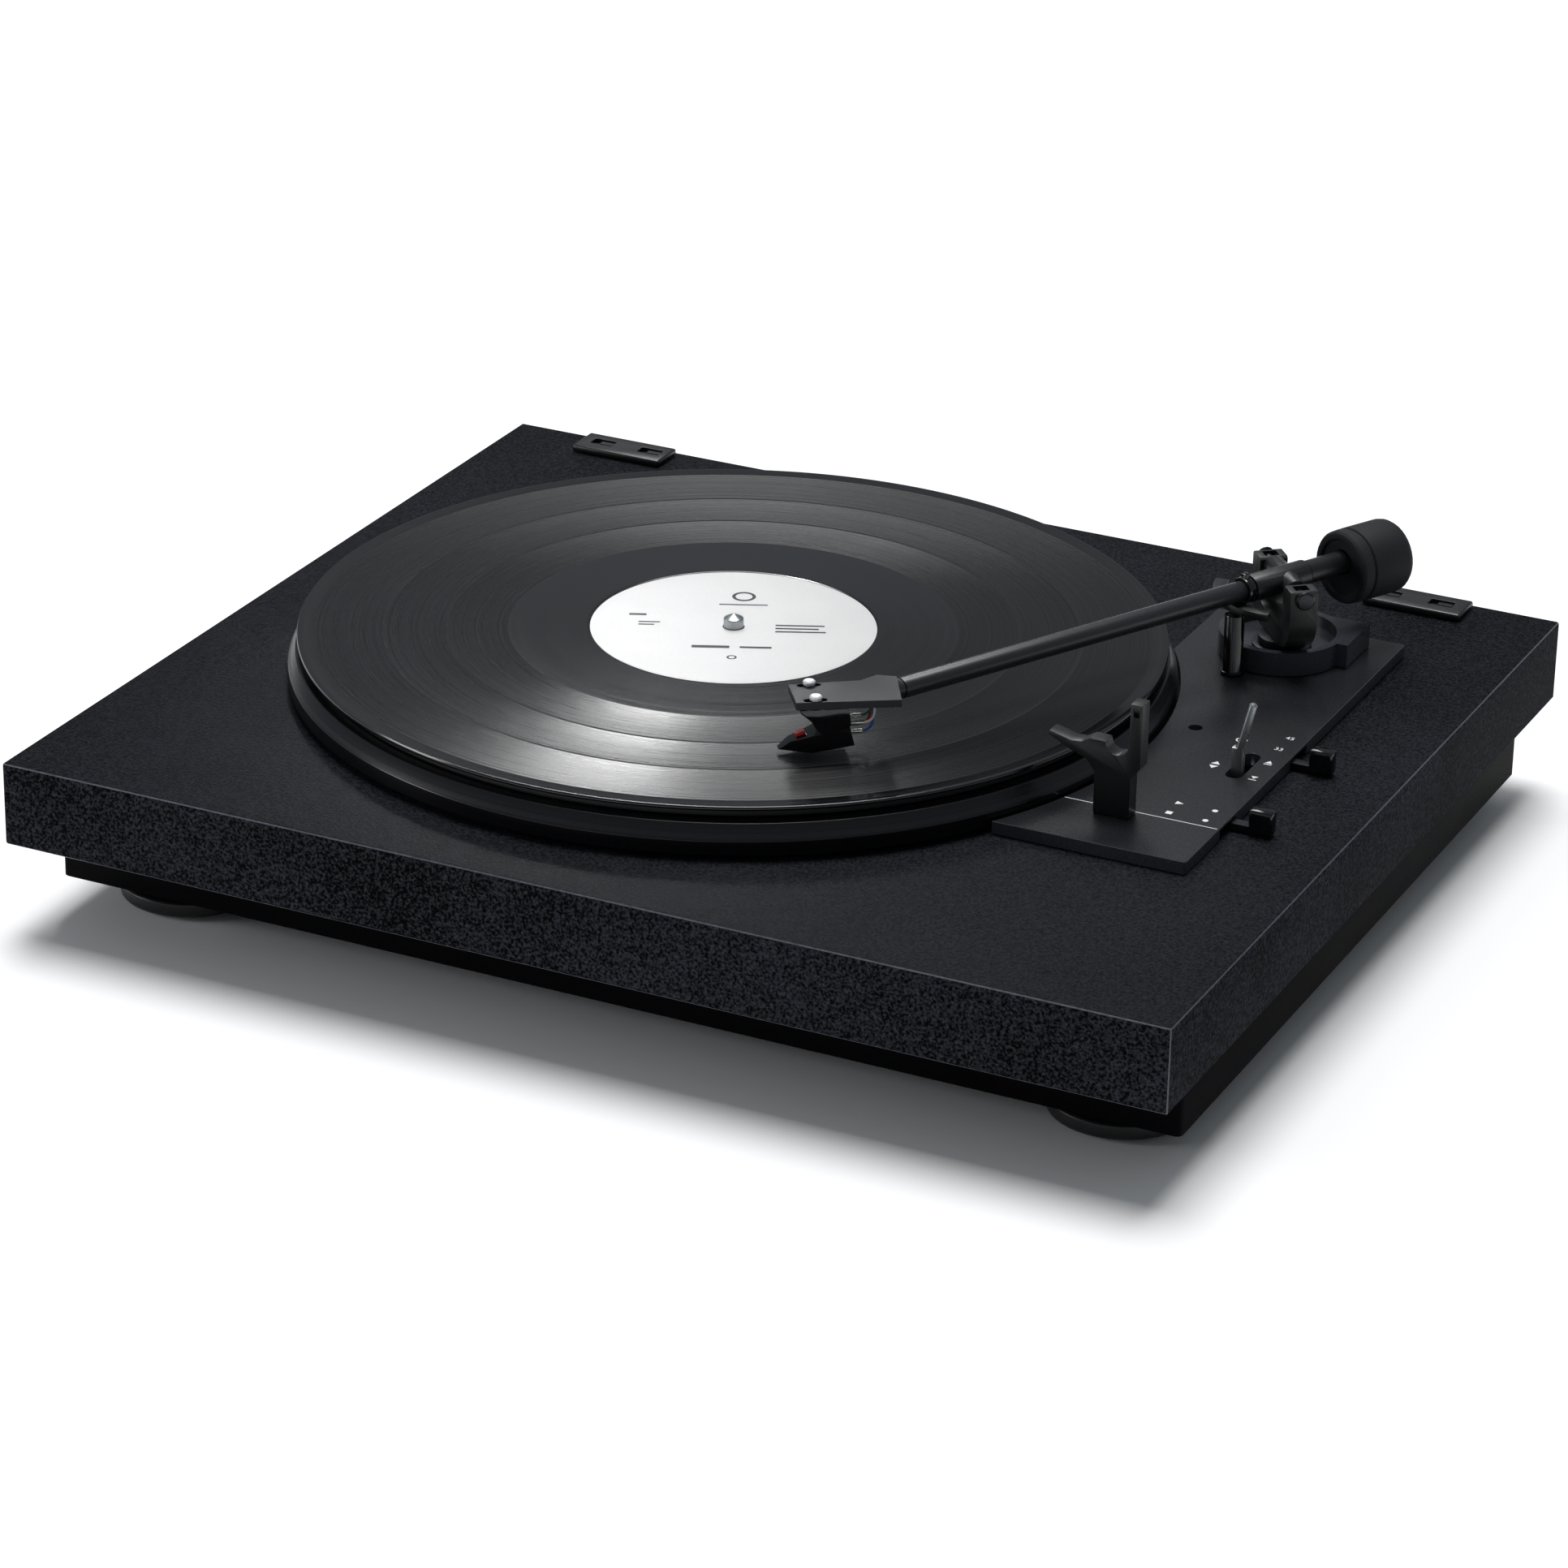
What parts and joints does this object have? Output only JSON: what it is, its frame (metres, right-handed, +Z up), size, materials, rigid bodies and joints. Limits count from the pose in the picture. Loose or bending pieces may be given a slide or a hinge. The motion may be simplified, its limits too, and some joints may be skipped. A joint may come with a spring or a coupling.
{
  "type": "turntable record player",
  "caption": "Belt-drive turntable: plinth on feet, turning platter with record, pivoted tonearm with counterweight and lift, start and speed switches.",
  "frame": {"origin": "centre of the bounding box, on the floor under the feet", "axes": "+X to the right along the long side, +Y to the rear, +Z up"},
  "size_m": [0.4212, 0.3646, 0.109],
  "materials": {
    "plinth": "satin charcoal lacquer over board",
    "black_plastic": "matte black moulding",
    "gloss_black": "gloss black moulding",
    "rubber": "black rubber",
    "anodised": "semi-gloss black anodised",
    "platter": "satin black coated casting",
    "vinyl": "pressed black vinyl with fine grooves",
    "label": "printed white paper",
    "steel": "bright turned steel",
    "bright": "polished",
    "brass": "turned brass",
    "board": "green circuit board",
    "arm_paint": "satin black paint on aluminium",
    "weight_coat": "matte black rubbery coat on a metal core"
  },
  "bodies": {
    "base": {"plinth": "plinth", "base_tray": "black_plastic", "foot_front_left": "black_plastic", "foot_front_right": "black_plastic", "foot_rear_left": "black_plastic", "foot_rear_right": "black_plastic", "pad_front_left": "rubber", "pad_front_right": "rubber", "pad_rear_left": "rubber", "pad_rear_right": "rubber", "control_plate": "anodised", "arm_base": "gloss_black", "arm_bush": "brass", "arm_rest": "black_plastic", "hinge_socket_left": "black_plastic", "hinge_socket_right": "black_plastic", "bearing_housing": "steel", "thrust_ball": "bright", "motor_can": "steel", "motor_plate": "steel", "drive_belt": "rubber", "speed_board": "board", "phono_board": "board", "rca_socket_left": "bright", "rca_socket_right": "bright", "ground_terminal": "steel", "power_inlet": "black_plastic", "lift_cylinder": "gloss_black"},
    "turning": {"spindle_shaft": "bright", "sub_platter": "black_plastic", "platter": "platter", "mat": "rubber", "record": "vinyl", "record_label": "label"},
    "pulley": {"motor_pulley": "brass"},
    "yoke": {"yoke": "black_plastic", "yoke_shaft": "steel", "pivot_screw_near": "steel", "pivot_screw_far": "steel"},
    "arm": {"arm_sleeve": "black_plastic", "arm_tube": "arm_paint", "arm_collar": "gloss_black", "headshell": "arm_paint", "cartridge_body": "gloss_black", "stylus_unit": "black_plastic", "stylus_tip": "steel", "head_screw_left": "steel", "head_screw_right": "steel"},
    "weight": {"counterweight": "weight_coat"},
    "lift_bar": {"lift_bar": "black_plastic"},
    "lift_lever": {"lift_lever": "steel"},
    "start_switch": {"start_lever": "steel", "start_knob": "gloss_black"},
    "speed_switch": {"speed_lever": "steel", "speed_knob": "gloss_black"}
  },
  "joints": [
    {"name": "platter_spin", "type": "hinge", "parent": "base", "child": "turning", "pos_m": [-0.0291, 0.0002, 0.0727], "axis": [0, 0, 1], "continuous": true},
    {"name": "pulley_spin", "type": "hinge", "parent": "base", "child": "pulley", "pos_m": [-0.12436, 0.0552, 0.0547], "axis": [0, 0, 1], "continuous": true},
    {"name": "tonearm_swing", "type": "hinge", "parent": "base", "child": "yoke", "pos_m": [0.1385, 0.0925, 0.0787], "axis": [0, 0, 1], "range_deg": [-16, 27.3]},
    {"name": "tonearm_lift", "type": "hinge", "parent": "yoke", "child": "arm", "pos_m": [0.1385, 0.0925, 0.0977], "axis": [-0.6428, 0.766, 0], "range_deg": [0, 3]},
    {"name": "counterweight_slide", "type": "slide", "parent": "arm", "child": "weight", "axis": [0.4586, 0.8886, 0], "range_m": [-0.003, 0.008]},
    {"name": "lift_bar_slide", "type": "slide", "parent": "base", "child": "lift_bar", "axis": [0, 0, 1], "range_m": [0, 0.00098]},
    {"name": "lift_lever_turn", "type": "hinge", "parent": "base", "child": "lift_lever", "pos_m": [0.1607, 0.001, 0.0537], "axis": [-1, 0, 0], "range_deg": [0, 36]},
    {"name": "start_stop_slide", "type": "slide", "parent": "base", "child": "start_switch", "axis": [0, 1, 0], "range_m": [-0.0086, 0]},
    {"name": "speed_slide", "type": "slide", "parent": "base", "child": "speed_switch", "axis": [0, 1, 0], "range_m": [0, 0.01]}
  ],
  "couplings": [
    {"joint": "pulley_spin", "follows": "platter_spin", "ratio": 10.333},
    {"joint": "lift_bar_slide", "follows": "tonearm_lift", "m_per_rad": 0.0185},
    {"joint": "lift_lever_turn", "follows": "tonearm_lift", "ratio": 12}
  ]
}
